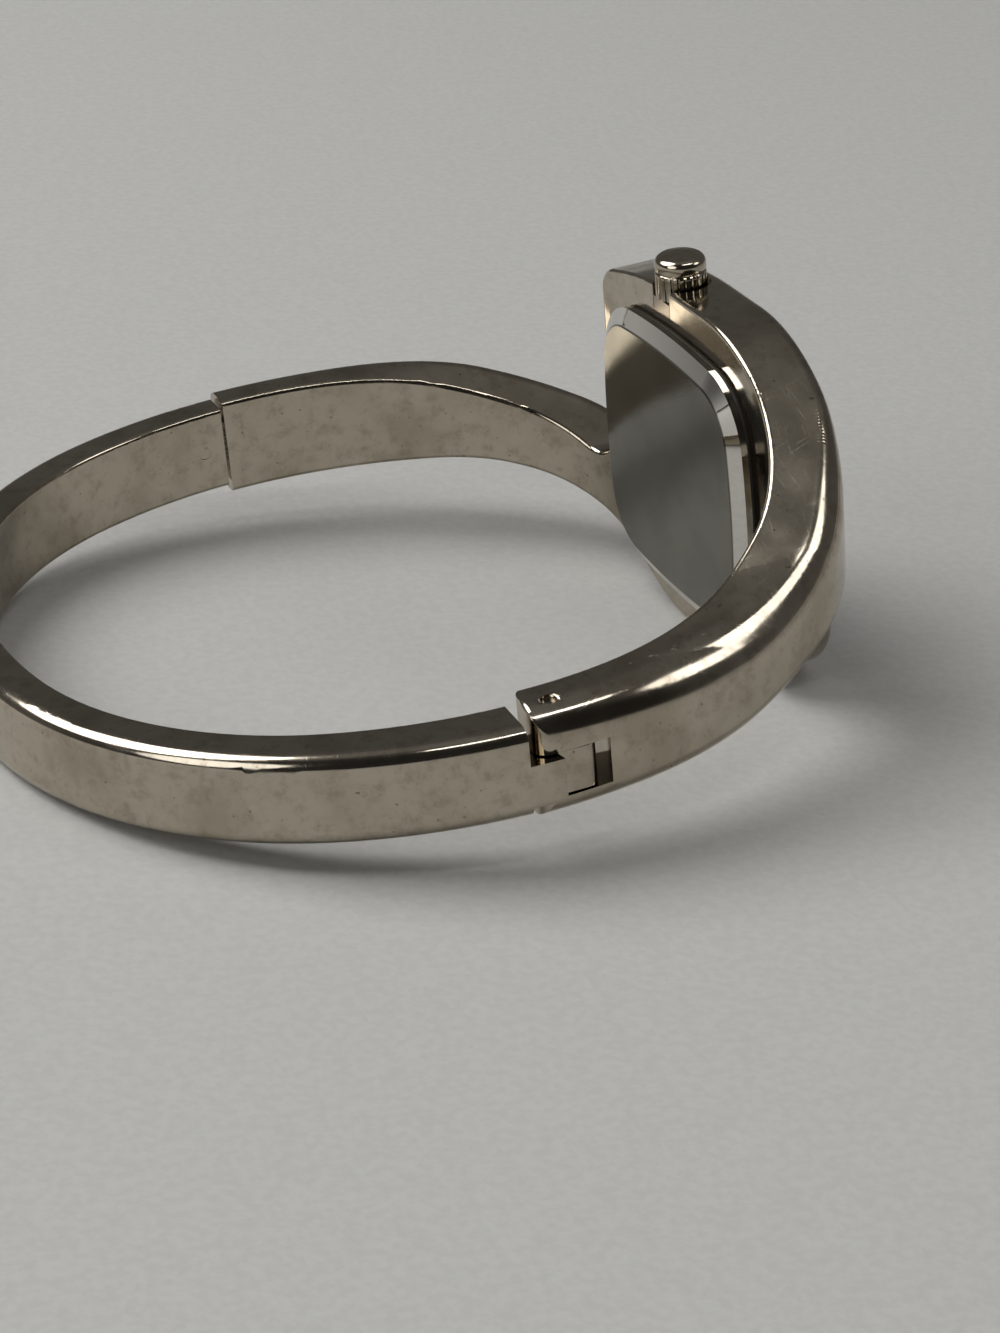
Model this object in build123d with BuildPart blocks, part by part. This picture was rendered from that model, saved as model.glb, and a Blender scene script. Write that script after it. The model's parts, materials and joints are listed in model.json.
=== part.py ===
from build123d import *
import math
import os

os.makedirs("parts", exist_ok=True)

# Watch frame while the pieces are made, in millimetres:
# +X runs from the wrist out through the dial, +Y towards the clasp, +Z towards the crown.

# Wrist opening, seen along Z: arcs that run tangent into each other
side_x = -2.9
rear_radius = 38.3
rear_corner_radius = 24.7
side_radius = 34.2
rear_turn = 12.5
rear_corner_turn = 54.9
side_turn = 90 - rear_turn - rear_corner_turn
head_corner_radius = 12.0

# Bangle walls
rear_wall = 3.3
rear_hinge_growth = 0.9
rear_half_height = 3.35
arm_wall = 3.2
arm_outer_radius = 41.0
outer_corner_radius = 12.0
near_corner_radius = 14.5
hinge_side_inset = 0.6
hinge_side_outset = 0.3
arm_edge_radius = 1.1
rear_edge_radius = 1.1
inner_edge_radius = 0.35
seat_fit = 0.01
part_gap = 0.05
overrun = 6.0
radius_tolerance = 0.001

# Head of the watch along X
case_rear_x = 22.4
head_thickness = 5.1
head_y = 0.6
head_z = 2.4

# Flowing outline of the front half, seen along X
arm_top = 3.9
arm_bottom = -3.95
head_top = 16.3
head_bottom = -11.2
head_top_far = 13.9
head_bottom_near = -9.3
head_far_y = 14.1
head_near_y = -13.7
notch_top = -3.6
notch_bottom = 2.8
near_rise_y = -25.5
near_crest_y = -9.0
top_crown_y = 6.0
far_rise_y = 27.3
far_fall_y = 24.0
far_crest_y = 5.0
bottom_crown_y = -7.0
near_fall_y = -28.3
top_crown_drop = 0.2
rise_radius = 9.0
crest_radius = 14.0
long_side_radius = 40.0
top_corner_round = 2.0
bottom_corner_round = 5.0
notch_round = 2.0

# Hinge
pin_x = -2.0
pin_radius = 0.55
pin_fit = 0.04
pin_chamfer = 0.12
pin_recess = 0.3
lug_end = 1.8
lug_end_round = 1.1
shoulder_x = -4.6
slot_top = 0.75
slot_bottom = -2.65
slot_depth = 3.5
tongue_reach = 2.7
tongue_round = 1.0
hinge_gap = 0.12

# Clasp
clasp_x = -5.0
clasp_gap = 0.25
blade_reach = 4.2
blade_root = 3.4
blade_thickness = 0.9
blade_half_width = 1.7
blade_round = 0.5
blade_fit = 0.22
ridge_radius = 0.3
ridge_proud = 0.12
ridge_place = 2.9
ridge_half_width = 1.2
rivet_radius = 0.5
rivet_grip = 0.6
rivet_sink = 0.05
leaf_thickness = 0.2
leaf_rise = 0.2
leaf_seat = 0.45
leaf_place = 0.7
leaf_length = 2.4
leaf_half_width = 1.0

# Case back: a cushion outline, bevelled all round, with a lip that snaps into the case
back_half_x = 10.9
back_half_y = 12.2
back_corner_share = 0.92
back_corner_radius = 5.5
back_proud = 1.5
back_bevel_depth = 0.7
back_bevel_width = 1.3
back_skin = 0.6
back_gasket_thickness = 0.3
back_gasket_inset = 0.25
pocket_inset = 1.1
lip_depth = 1.2
lip_wall = 0.8

# Dial, crystal and hands
hand_room = 1.4
dial_thickness = 0.3
dial_hole_radius = 0.9
window_inset = 2.1
crystal_seat_depth = 1.15
crystal_inset = 1.3
crystal_proud = 0.35
crystal_bevel = 0.3
crystal_gasket_wall = 0.4
marker_inset = 1.0
marker_length = 1.5
marker_width = 0.45
marker_height = 0.15
hour_hand_lift = 0.55
minute_hand_lift = 0.85
hand_thickness = 0.12
hour_hand_length = 4.8
minute_hand_length = 7.2
hand_tail = 1.5
hand_half_width = 0.35
hand_tip_half_width = 0.12
hand_boss_radius = 1.0
hour_hand_angle = 145
minute_hand_angle = 30

# Movement: main plate, bridge and the layers between them
plate_depth = 1.35
plate_half_x = 7.6
plate_half_y = 8.9
plate_corner = 4.5
bridge_depth = 1.05
bridge_thickness = 0.4
foot_radius = 0.65
arbor_end_gap = 0.02

# Wheels
train_module = 0.1
motion_module = 0.15
pinion_teeth = 8
intermediate_teeth = 32
third_teeth = 36
centre_teeth = 40
cannon_teeth = 10
minute_wheel_teeth = 30
hour_wheel_teeth = 32
gear_tip_share = 0.7
gear_root_share = 1.2
gear_base_share = 0.19
gear_crest_share = 0.09
train_rise = 0.45
wheel_thickness = 0.14
wheel_step = 0.2
pinion_margin = 0.02
pivot_radius = 0.12
pivot_fit = 0.03
pivot_depth = 0.3
arbor_radius = 0.18
centre_arbor_radius = 0.25
cannon_radius = 0.42
cannon_lift = 1.0
hour_bore_fit = 0.08
hour_tube_radius = 0.75
motion_recess = 0.4
motion_wheel_thickness = 0.12
minute_stud_radius = 0.2
wheel_gap = 0.2
third_angle = -60
intermediate_angle = -10
rotor_angle = -80
minute_wheel_angle = 50

# Motor
magnet_radius = 0.75
magnet_thickness = 0.28
stator_bore_gap = 0.2
stator_ring = 0.4
stator_thickness = 0.3
stator_arm_width = 1.1
stator_arm_gap = 0.45
stator_pad_half = 0.8
core_start = -5.6
core_half_width = 0.35
core_pad = 1.0
coil_radius = 0.75
coil_length = 6.8
coil_start = -4.4
coil_y = -7.6

# Battery, circuit and screws
battery_radius = 3.4
battery_thickness = 1.9
battery_step = 0.2
battery_cap_inset = 0.4
battery_seat = 0.5
battery_fit = 0.1
battery_place = (-3.6, 4.6)
clamp_thickness = 0.15
clamp_half_width = 0.8
clamp_foot_length = 1.8
board_low = (-7.0, -4.7)
board_high = (-2.6, 0.3)
board_thickness = 0.2
chip_size = 1.6
chip_height = 0.4
chip_place = (-5.8, -3.4)
quartz_radius = 0.6
quartz_length = 4.2
quartz_place = (-3.5, -4.3)
screw_radius = 0.3
screw_head_radius = 0.55
screw_head_height = 0.2
screw_slot_width = 0.14
screw_slot_depth = 0.1
screw_grip = 0.6
bridge_feet = [(3.6, 0.6), (-1.6, -3.2), (5.9, -4.6)]

# Crown, stem and setting work
stem_depth = 0.5
crown_shift = 2.5
crown_radius = 1.95
crown_floor_z = 14.0
crown_seat_gap = 0.1
crown_height = 4.4
crown_dome = 0.35
crown_flutes = 24
flute_margin = 0.35
flute_radius = 0.17
crown_well_gap = 0.3
crown_bore_depth = 1.75
tube_radius = 0.95
tube_proud = 1.6
tube_inset = 0.1
seal_wall = 0.3
seal_height = 0.4
stem_radius = 0.35
stem_fit = 0.05
stem_end = 4.0
stem_grip = 0.6
slider_start = 4.6
slider_length = 1.0
slider_teeth = 12
slider_module = 0.11
slider_window_start = 4.4
slider_window_length = 2.5
slider_window_half = 1.0
lever_thickness = 0.2
lever_pivot = (5.2, 0.2)
lever_pivot_radius = 0.6
lever_tip = (6.85, -1.05)
lever_tip_radius = 0.4

# Places worked out from the sizes above
corner_turn_rise = math.cos(math.radians(side_turn)) - math.cos(math.radians(side_turn + rear_corner_turn))
opening_y = (
    side_radius * (1 - math.cos(math.radians(side_turn)))
    + rear_corner_radius * corner_turn_rise
    + rear_radius * math.cos(math.radians(side_turn + rear_corner_turn))
)
rear_x = side_x - (
    side_radius * math.sin(math.radians(side_turn))
    + rear_corner_radius
    * (math.sin(math.radians(side_turn + rear_corner_turn)) - math.sin(math.radians(side_turn)))
    + rear_radius * (1 - math.sin(math.radians(side_turn + rear_corner_turn)))
)
pin_y = -(opening_y + rear_wall / 2)
near_corner_grow = rear_wall + rear_hinge_growth / corner_turn_rise
clasp_y = opening_y + arm_wall / 2
case_front_x = case_rear_x + head_thickness
crystal_x = case_front_x - crystal_seat_depth
dial_x = crystal_x - hand_room
hour_hand_x = dial_x + hour_hand_lift
minute_hand_x = dial_x + minute_hand_lift
cannon_end_x = dial_x + cannon_lift
plate_x = dial_x - plate_depth
bridge_x = plate_x - bridge_depth
train_x = bridge_x + train_rise
back_face_x = case_rear_x - back_proud
crown_x = plate_x + stem_depth
crown_y = head_y + crown_shift
rear_end_x = clasp_x - clasp_gap
near_inner_y = opening_y - hinge_side_inset
near_outer_y = opening_y + arm_wall + hinge_side_outset
back_edge_x = back_face_x + back_bevel_depth
back_inner_x = case_rear_x - back_gasket_thickness
lip_end_x = back_inner_x + lip_depth
lip_inset = pocket_inset + part_gap
ledge_x = dial_x + dial_thickness
crystal_seat_inset = crystal_inset - crystal_gasket_wall
plate_front_x = dial_x - part_gap
motion_x = plate_front_x - motion_recess
bridge_front_x = bridge_x + bridge_thickness
third_x = train_x + wheel_step
centre_x = third_x + wheel_step
stator_x = plate_x - stator_thickness
core_x = stator_x - stator_thickness
battery_front_x = plate_x + battery_seat
battery_back_x = battery_front_x - battery_thickness
clamp_x = battery_back_x - clamp_thickness
board_x = plate_x - board_thickness
crown_base_z = crown_floor_z + crown_seat_gap
crown_top_z = crown_base_z + crown_height
tube_start_z = head_z + back_half_x - pocket_inset + tube_inset
tube_end_z = crown_floor_z + tube_proud


def arc_chain(start, heading, arcs):
    """Tangent arcs from a start point; each is a radius and a signed turn in degrees."""
    for radius, turn in arcs:
        arc = JernArc(start=start, tangent=heading, radius=radius, arc_size=turn)
        start = arc @ 1
        heading = arc % 1
    return start


def rear_line(side, grow, corner_grow):
    """One side of the rear half's wall, from the rear apex to the side of the opening."""
    arcs = [
        (rear_radius + grow, -side * rear_turn),
        (rear_corner_radius + corner_grow, -side * rear_corner_turn),
        (side_radius + grow, -side * side_turn),
    ]
    return arc_chain((rear_x - grow, 0), (0, side), arcs)


def front_line(side, start_y, long_radius, corner_radius, end_x):
    """One side of the front half's wall, from behind the hinge or clasp to the head."""
    start = (side_x, side * start_y)
    back_turn = math.degrees(math.asin((side_x - clasp_x + overrun / 2) / long_radius))
    back = JernArc(start=start, tangent=(-1, 0), radius=long_radius, arc_size=side * back_turn)
    long_turn = math.degrees(math.asin((end_x - side_x - corner_radius) / (long_radius - corner_radius)))
    arcs = [(long_radius, -side * long_turn), (corner_radius, -side * (90 - long_turn))]
    return back @ 1, arc_chain(start, (1, 0), arcs)


def round_walls(part, radii):
    """The upright round walls of a part that have one of some radii."""
    found = part.faces().filter_by(GeomType.CYLINDER)
    return found.filter_by(lambda face: min(abs(face.radius - radius) for radius in radii) < radius_tolerance)


def flat_wall(part, x):
    """The flat walls of a part in the plane at x."""
    found = part.faces().filter_by(GeomType.PLANE)
    return found.filter_by(lambda face: abs(face.center().X - x) < radius_tolerance)


def rims(walls):
    """The long edges of some upright walls, without the upright ones between them."""
    edges = ShapeList([edge for wall in walls for edge in wall.edges()])
    return edges.filter_by(Axis.Z, reverse=True)


def face_plane(x):
    """Plane across the head at x: its own x runs to the crown and its own y to twelve."""
    return Plane(origin=(x, head_y, head_z), x_dir=(0, 0, 1), z_dir=(1, 0, 0))


def head_point(x, place_x, place_y):
    """A point of the head's own axes, in the watch frame."""
    return (x, head_y - place_y, head_z + place_x)


def crown_level(z):
    """Plane square to the crown's axis, at height z."""
    return Plane(origin=(crown_x, crown_y, z), x_dir=(1, 0, 0), z_dir=(0, 0, 1))


def arc_radius(half_chord, rise):
    """Radius of an arc from its half chord and its rise."""
    return (half_chord**2 + rise**2) / (2 * rise)


def cushion(x, inset):
    """Cushion outline of the case back in the plane at x, drawn in by an inset."""
    corner_x = back_half_x * back_corner_share
    corner_y = back_half_y * back_corner_share
    radius_x = arc_radius(corner_y, back_half_x - corner_x)
    radius_y = arc_radius(corner_x, back_half_y - corner_y)
    with BuildSketch(face_plane(x)) as outline:
        with Locations((0, back_half_y - radius_y)):
            Circle(radius_y - inset)
        with Locations((0, radius_y - back_half_y)):
            Circle(radius_y - inset, mode=Mode.INTERSECT)
        with Locations((radius_x - back_half_x, 0)):
            Circle(radius_x - inset, mode=Mode.INTERSECT)
        with Locations(Location((back_half_x - radius_x, 0), 180)):
            Circle(radius_x - inset, mode=Mode.INTERSECT)
        fillet(outline.vertices(), radius=back_corner_radius - inset)
    return outline.sketch


def disc(x, centre, radius):
    """A round outline in the plane at x, about a centre in the head's own axes."""
    with BuildSketch(face_plane(x)) as outline:
        with Locations(centre):
            Circle(radius)
    return outline.sketch


def block(x, low, high):
    """A rectangle in the plane at x, from its low to its high corner in the head's own axes."""
    with BuildSketch(face_plane(x)) as outline:
        with Locations(((low[0] + high[0]) / 2, (low[1] + high[1]) / 2)):
            Rectangle(high[0] - low[0], high[1] - low[1])
    return outline.sketch


def plate_outline(x, grow):
    """Outline of the movement in the plane at x."""
    with BuildSketch(face_plane(x)) as outline:
        RectangleRounded((plate_half_x + grow) * 2, (plate_half_y + grow) * 2, plate_corner + grow)
    return outline.sketch


def polar(centre, radius, angle):
    """Point at a distance and an angle in degrees from a centre."""
    turn = math.radians(angle)
    return (centre[0] + radius * math.cos(turn), centre[1] + radius * math.sin(turn))


def tip_radius(teeth, module):
    """Radius over the teeth of a wheel."""
    return module * (teeth / 2 + gear_tip_share)


def gear_points(centre, teeth, module, turn):
    """Corners of a wheel's straight-sided teeth, which are narrower than their gaps."""
    root = module * (teeth / 2 - gear_root_share)
    tip = tip_radius(teeth, module)
    step = 360 / teeth
    points = []
    for tooth in range(teeth):
        middle = tooth * step + turn
        points.append(polar(centre, root, middle - step * gear_base_share))
        points.append(polar(centre, tip, middle - step * gear_crest_share))
        points.append(polar(centre, tip, middle + step * gear_crest_share))
        points.append(polar(centre, root, middle + step * gear_base_share))
    return points


def gear(plane, centre, teeth, module, turn):
    """A toothed outline on a plane, about a centre."""
    with BuildSketch(plane) as outline:
        with BuildLine():
            Polyline(*gear_points(centre, teeth, module, turn), close=True)
        make_face()
    return outline.sketch


def mesh_turn(turn, teeth, angle, next_teeth):
    """Turn at which the next wheel, in the direction of angle, has a gap for this one's teeth."""
    return angle + 180 + (angle - turn) * teeth / next_teeth + 180 / next_teeth


def mesh_distance(teeth, next_teeth, module):
    """Distance between two axes whose wheels mesh."""
    return module * (teeth + next_teeth) / 2


centre_axis = (0, 0)
third_axis = polar(centre_axis, mesh_distance(centre_teeth, pinion_teeth, train_module), third_angle)
intermediate_axis = polar(
    third_axis, mesh_distance(third_teeth, pinion_teeth, train_module), intermediate_angle
)
rotor_axis = polar(
    intermediate_axis, mesh_distance(intermediate_teeth, pinion_teeth, train_module), rotor_angle
)
minute_axis = polar(
    centre_axis, mesh_distance(cannon_teeth, minute_wheel_teeth, motion_module), minute_wheel_angle
)
third_pinion_turn = mesh_turn(0, centre_teeth, third_angle, pinion_teeth)
intermediate_pinion_turn = mesh_turn(0, third_teeth, intermediate_angle, pinion_teeth)
rotor_pinion_turn = mesh_turn(0, intermediate_teeth, rotor_angle, pinion_teeth)
minute_wheel_turn = mesh_turn(0, cannon_teeth, minute_wheel_angle, minute_wheel_teeth)
hour_wheel_turn = mesh_turn(0, pinion_teeth, minute_wheel_angle + 180, hour_wheel_teeth)
clamp_foot_x = battery_place[0] + battery_radius + part_gap
clamp_screw = (clamp_foot_x + clamp_foot_length / 2 + clamp_thickness, battery_place[1])

# Case: the flowing outline seen along X, cut by the bangle's plan seen along Z
upper_edge = [
    (near_rise_y - overrun * 3, arm_top),
    (near_rise_y, arm_top),
    (near_crest_y, head_top),
    (top_crown_y, head_top - top_crown_drop),
    (head_far_y, head_top_far),
    (head_far_y, notch_top),
    (far_rise_y, arm_top),
    (far_rise_y + overrun * 3, arm_top),
]
lower_edge = [
    (far_rise_y + overrun * 3, arm_bottom),
    (far_fall_y, arm_bottom),
    (far_crest_y, head_bottom),
    (bottom_crown_y, head_bottom),
    (head_near_y, head_bottom_near),
    (head_near_y, notch_bottom),
    (near_fall_y, arm_bottom),
    (near_rise_y - overrun * 3, arm_bottom),
]
upper_rounds = [rise_radius, crest_radius, long_side_radius, top_corner_round, notch_round, rise_radius]
lower_rounds = [rise_radius, crest_radius, crest_radius, bottom_corner_round, notch_round, rise_radius]

with BuildPart() as flow:
    with BuildSketch(Plane.YZ.offset(clasp_x - overrun)):
        with BuildLine():
            FilletPolyline(*upper_edge, radius=upper_rounds)
            Line(upper_edge[-1], lower_edge[0])
            FilletPolyline(*lower_edge, radius=lower_rounds)
            Line(lower_edge[-1], upper_edge[0])
        make_face()
    extrude(amount=case_front_x - clasp_x + overrun * 2)

with BuildPart() as front_case:
    with BuildSketch(Plane.XY.offset(head_bottom - overrun)):
        with BuildLine():
            far_out = front_line(1, opening_y + arm_wall, arm_outer_radius, outer_corner_radius, case_front_x)
            near_out = front_line(-1, near_outer_y, arm_outer_radius, near_corner_radius, case_front_x)
            far_in = front_line(1, opening_y, side_radius, head_corner_radius, case_rear_x)
            near_in = front_line(-1, near_inner_y, side_radius, head_corner_radius, case_rear_x)
            Line(far_out[1], near_out[1])
            Line(far_in[1], near_in[1])
            Line(far_out[0], far_in[0])
            Line(near_out[0], near_in[0])
        make_face()
    extrude(amount=head_top - head_bottom + overrun * 2)
    add(flow.part, mode=Mode.INTERSECT)

    # Polished edges: large on the outside, fine along the wrist
    long_walls = round_walls(front_case.part, [arm_outer_radius])
    corner_walls = round_walls(front_case.part, [outer_corner_radius, near_corner_radius]).filter_by_position(
        Axis.X, case_rear_x, case_front_x
    )
    outer_walls = long_walls + corner_walls + flat_wall(front_case.part, case_front_x)
    fillet(rims(outer_walls), radius=arm_edge_radius)
    long_walls = round_walls(front_case.part, [side_radius])
    corner_walls = round_walls(front_case.part, [head_corner_radius]).filter_by_position(
        Axis.X, side_x, case_rear_x
    )
    inner_walls = long_walls + corner_walls + flat_wall(front_case.part, case_rear_x)
    fillet(rims(inner_walls), radius=inner_edge_radius)

    # Flat seat of the case back, pocket for the movement, window over the dial, seat of the crystal
    extrude(cushion(case_rear_x - overrun, -part_gap), amount=overrun, mode=Mode.SUBTRACT)
    extrude(
        cushion(case_rear_x - overrun, pocket_inset),
        amount=overrun + ledge_x - case_rear_x,
        mode=Mode.SUBTRACT,
    )
    extrude(cushion(case_rear_x, window_inset), amount=case_front_x - case_rear_x, mode=Mode.SUBTRACT)
    extrude(cushion(crystal_x, crystal_seat_inset), amount=overrun, mode=Mode.SUBTRACT)

    # Well of the crown and bore of its tube
    with BuildSketch(crown_level(crown_floor_z)):
        Circle(crown_radius + crown_well_gap)
    extrude(amount=overrun, mode=Mode.SUBTRACT)
    with BuildSketch(crown_level(head_z)):
        Circle(tube_radius + seat_fit)
    extrude(amount=crown_floor_z - head_z, mode=Mode.SUBTRACT)

    # Hinge lugs, with the slot for the rear half's tongue between them
    with BuildSketch(Plane.XY.offset(arm_bottom - overrun)):
        with Locations((pin_x - overrun / 2, pin_y)):
            Rectangle(overrun, arm_wall * 2 + overrun)
        with BuildSketch(mode=Mode.SUBTRACT) as lug_outline:
            with Locations((pin_x - lug_end + overrun, -(near_outer_y + near_inner_y) / 2)):
                Rectangle(overrun * 2, near_outer_y - near_inner_y)
            fillet(lug_outline.vertices().group_by(Axis.X)[0], radius=lug_end_round)
    extrude(amount=arm_top - arm_bottom + overrun * 2, mode=Mode.SUBTRACT)
    with BuildSketch(Plane.XY.offset(slot_bottom)):
        with Locations((pin_x + slot_depth - overrun, pin_y)):
            Rectangle(overrun * 2, arm_wall * 2 + overrun)
    extrude(amount=slot_top - slot_bottom, mode=Mode.SUBTRACT)
    with BuildSketch(Plane.XY.offset(arm_bottom - overrun)):
        with Locations((pin_x, pin_y)):
            Circle(pin_radius + seat_fit)
    extrude(amount=arm_top - arm_bottom + overrun * 2, mode=Mode.SUBTRACT)

    # Clasp end: square cut, socket for the blade and seat of its leaf spring
    with BuildSketch(Plane.XY.offset(arm_bottom - overrun)):
        with Locations((clasp_x - overrun, clasp_y)):
            Rectangle(overrun * 2, arm_wall * 2 + overrun)
    extrude(amount=arm_top - arm_bottom + overrun * 2, mode=Mode.SUBTRACT)
    with BuildSketch(Plane.XZ.offset(-clasp_y)):
        with Locations(((clasp_x - overrun + rear_end_x + blade_reach + blade_fit) / 2, 0)):
            Rectangle(
                rear_end_x + blade_reach + blade_fit - clasp_x + overrun, (blade_half_width + blade_fit) * 2
            )
    extrude(amount=blade_thickness / 2 + blade_fit, both=True, mode=Mode.SUBTRACT)
    with BuildSketch(Plane.XZ.offset(-clasp_y)):
        with Locations((clasp_x + leaf_place + leaf_length / 2, 0)):
            Rectangle(leaf_length + part_gap * 2, (leaf_half_width + part_gap) * 2)
    extrude(amount=-(blade_thickness / 2 + blade_fit + leaf_seat), mode=Mode.SUBTRACT)
front_case.part.label = "front_case"

# Rear half of the bangle
with BuildPart() as rear_band:
    with BuildSketch(Plane.XY.offset(-rear_half_height)):
        with BuildLine():
            far_out = rear_line(1, rear_wall, rear_wall)
            near_out = rear_line(-1, rear_wall, near_corner_grow)
            far_in = rear_line(1, 0, 0)
            near_in = rear_line(-1, 0, 0)
            Line(far_out, far_in)
            Line(near_out, near_in)
        make_face()
    extrude(amount=rear_half_height * 2)
    outer_radii = [radius + rear_wall for radius in (rear_radius, rear_corner_radius, side_radius)]
    outer_radii.append(rear_corner_radius + near_corner_grow)
    fillet(rims(round_walls(rear_band.part, outer_radii)), radius=rear_edge_radius)
    inner_radii = [rear_radius, rear_corner_radius, side_radius]
    fillet(rims(round_walls(rear_band.part, inner_radii)), radius=inner_edge_radius)

    # Clasp end, with the slot that holds the blade
    with BuildSketch(Plane.XY.offset(-rear_half_height - overrun)):
        with Locations((rear_end_x + overrun, clasp_y)):
            Rectangle(overrun * 2, rear_wall * 2 + overrun)
    extrude(amount=(rear_half_height + overrun) * 2, mode=Mode.SUBTRACT)
    with BuildSketch(Plane.XZ.offset(-clasp_y)):
        with Locations((rear_end_x, 0)):
            Rectangle(blade_root * 2, (blade_half_width + seat_fit) * 2)
    extrude(amount=blade_thickness / 2 + seat_fit, both=True, mode=Mode.SUBTRACT)

    # Shoulders above and below the hinge tongue, and the tongue itself
    tongue_low = slot_bottom + hinge_gap
    tongue_high = slot_top - hinge_gap
    for low, high in ((-rear_half_height - overrun, tongue_low), (tongue_high, rear_half_height + overrun)):
        with BuildSketch(Plane.XY.offset(low)):
            with Locations((shoulder_x + overrun, pin_y)):
                Rectangle(overrun * 2, rear_wall * 2 + overrun)
        extrude(amount=high - low, mode=Mode.SUBTRACT)
    with BuildSketch(Plane.XY.offset(tongue_low)) as tongue_outline:
        with Locations(((side_x + pin_x + tongue_reach) / 2, pin_y)):
            Rectangle(pin_x + tongue_reach - side_x, rear_wall)
        fillet(tongue_outline.vertices().group_by(Axis.X)[-1], radius=tongue_round)
    extrude(amount=tongue_high - tongue_low)
    with BuildSketch(Plane.XY.offset(tongue_low - overrun)):
        with Locations((pin_x, pin_y)):
            Circle(pin_radius + pin_fit)
    extrude(amount=tongue_high - tongue_low + overrun * 2, mode=Mode.SUBTRACT)

    # Bore of the rivet, from the wrist side
    rivet_x = rear_end_x - blade_root / 2
    rivet_sag = side_radius - math.sqrt(side_radius**2 - (side_x - rivet_x) ** 2)
    rivet_y = opening_y - rivet_sag + rivet_sink
    rivet_length = clasp_y + blade_thickness / 2 + rivet_grip - rivet_y
    with BuildSketch(Plane.XZ.offset(-rivet_y + overrun / 2)):
        with Locations((rivet_x, 0)):
            Circle(rivet_radius + seat_fit)
    extrude(amount=-(rivet_length + overrun / 2), mode=Mode.SUBTRACT)
rear_band.part.label = "rear_band"

with BuildPart() as hinge_pin:
    with BuildSketch(Plane.XY.offset(arm_bottom + pin_recess)):
        with Locations((pin_x, pin_y)):
            Circle(pin_radius)
    extrude(amount=arm_top - arm_bottom - pin_recess * 2)
    chamfer(hinge_pin.edges().filter_by(GeomType.CIRCLE), length=pin_chamfer)
hinge_pin.part.label = "hinge_pin"

with BuildPart() as clasp_tongue:
    with BuildSketch(Plane.XZ.offset(-clasp_y)) as blade_outline:
        with Locations((rear_end_x + (blade_reach - blade_root) / 2, 0)):
            Rectangle(blade_reach + blade_root, blade_half_width * 2)
        fillet(blade_outline.vertices().group_by(Axis.X)[-1], radius=blade_round)
    extrude(amount=blade_thickness / 2, both=True)
    with BuildSketch(Plane.XY.offset(-ridge_half_width)):
        with Locations((clasp_x + ridge_place, clasp_y + blade_thickness / 2 + ridge_proud - ridge_radius)):
            Circle(ridge_radius)
    extrude(amount=ridge_half_width * 2)
    with BuildSketch(Plane.XZ.offset(-clasp_y)):
        with Locations((rivet_x, 0)):
            Circle(rivet_radius + seat_fit)
    extrude(amount=blade_thickness, both=True, mode=Mode.SUBTRACT)
clasp_tongue.part.label = "clasp_tongue"

with BuildPart() as clasp_rivet:
    with BuildSketch(Plane.XZ.offset(-rivet_y)):
        with Locations((rivet_x, 0)):
            Circle(rivet_radius)
    extrude(amount=-rivet_length)
clasp_rivet.part.label = "clasp_rivet"

with BuildPart() as clasp_spring:
    leaf_low = clasp_x + leaf_place
    leaf_high = leaf_low + leaf_length
    leaf_middle = (leaf_low + leaf_high) / 2
    leaf_y = clasp_y + blade_thickness / 2 + blade_fit + leaf_seat
    with BuildSketch(Plane.XY.offset(-leaf_half_width)):
        with BuildLine():
            ThreePointArc((leaf_low, leaf_y), (leaf_middle, leaf_y - leaf_rise), (leaf_high, leaf_y))
            Line((leaf_high, leaf_y), (leaf_high, leaf_y - leaf_thickness))
            ThreePointArc(
                (leaf_high, leaf_y - leaf_thickness),
                (leaf_middle, leaf_y - leaf_rise - leaf_thickness),
                (leaf_low, leaf_y - leaf_thickness),
            )
            Line((leaf_low, leaf_y - leaf_thickness), (leaf_low, leaf_y))
        make_face()
    extrude(amount=leaf_half_width * 2)
clasp_spring.part.label = "clasp_spring"

# Back of the case
with BuildPart() as case_back:
    loft(sections=[cushion(back_face_x, back_bevel_width), cushion(back_edge_x, 0)], ruled=True)
    extrude(cushion(back_edge_x, 0), amount=back_inner_x - back_edge_x)
    extrude(cushion(back_inner_x, lip_inset), amount=lip_depth)
    extrude(cushion(back_face_x + back_skin, lip_inset + lip_wall), amount=overrun, mode=Mode.SUBTRACT)
case_back.part.label = "case_back"

with BuildPart() as case_back_gasket:
    extrude(cushion(back_inner_x, back_gasket_inset), amount=back_gasket_thickness)
    extrude(cushion(back_inner_x, lip_inset - part_gap), amount=back_gasket_thickness, mode=Mode.SUBTRACT)
case_back_gasket.part.label = "case_back_gasket"

# Crystal and dial
with BuildPart() as crystal:
    extrude(cushion(crystal_x, crystal_inset), amount=case_front_x + crystal_proud - crystal_x)
    chamfer(crystal.edges().group_by(Axis.X)[-1], length=crystal_bevel)
crystal.part.label = "crystal"

with BuildPart() as crystal_gasket:
    extrude(cushion(crystal_x, crystal_seat_inset + seat_fit), amount=case_front_x - crystal_x)
    extrude(cushion(crystal_x, crystal_inset - seat_fit), amount=overrun, mode=Mode.SUBTRACT)
crystal_gasket.part.label = "crystal_gasket"

with BuildPart() as dial:
    extrude(cushion(dial_x, lip_inset), amount=dial_thickness)
    extrude(disc(dial_x, centre_axis, dial_hole_radius), amount=dial_thickness, mode=Mode.SUBTRACT)
dial.part.label = "dial"

with BuildPart() as hour_markers:
    reach_x = back_half_x - window_inset - marker_inset - marker_length / 2
    reach_y = back_half_y - window_inset - marker_inset - marker_length / 2
    with BuildSketch(face_plane(ledge_x)):
        for hour in range(12):
            turn = math.radians(hour * 30)
            place = (reach_x * math.cos(turn), reach_y * math.sin(turn))
            with Locations(Location(place, hour * 30)):
                Rectangle(marker_length, marker_width)
    extrude(amount=marker_height)
hour_markers.part.label = "hour_markers"


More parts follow.
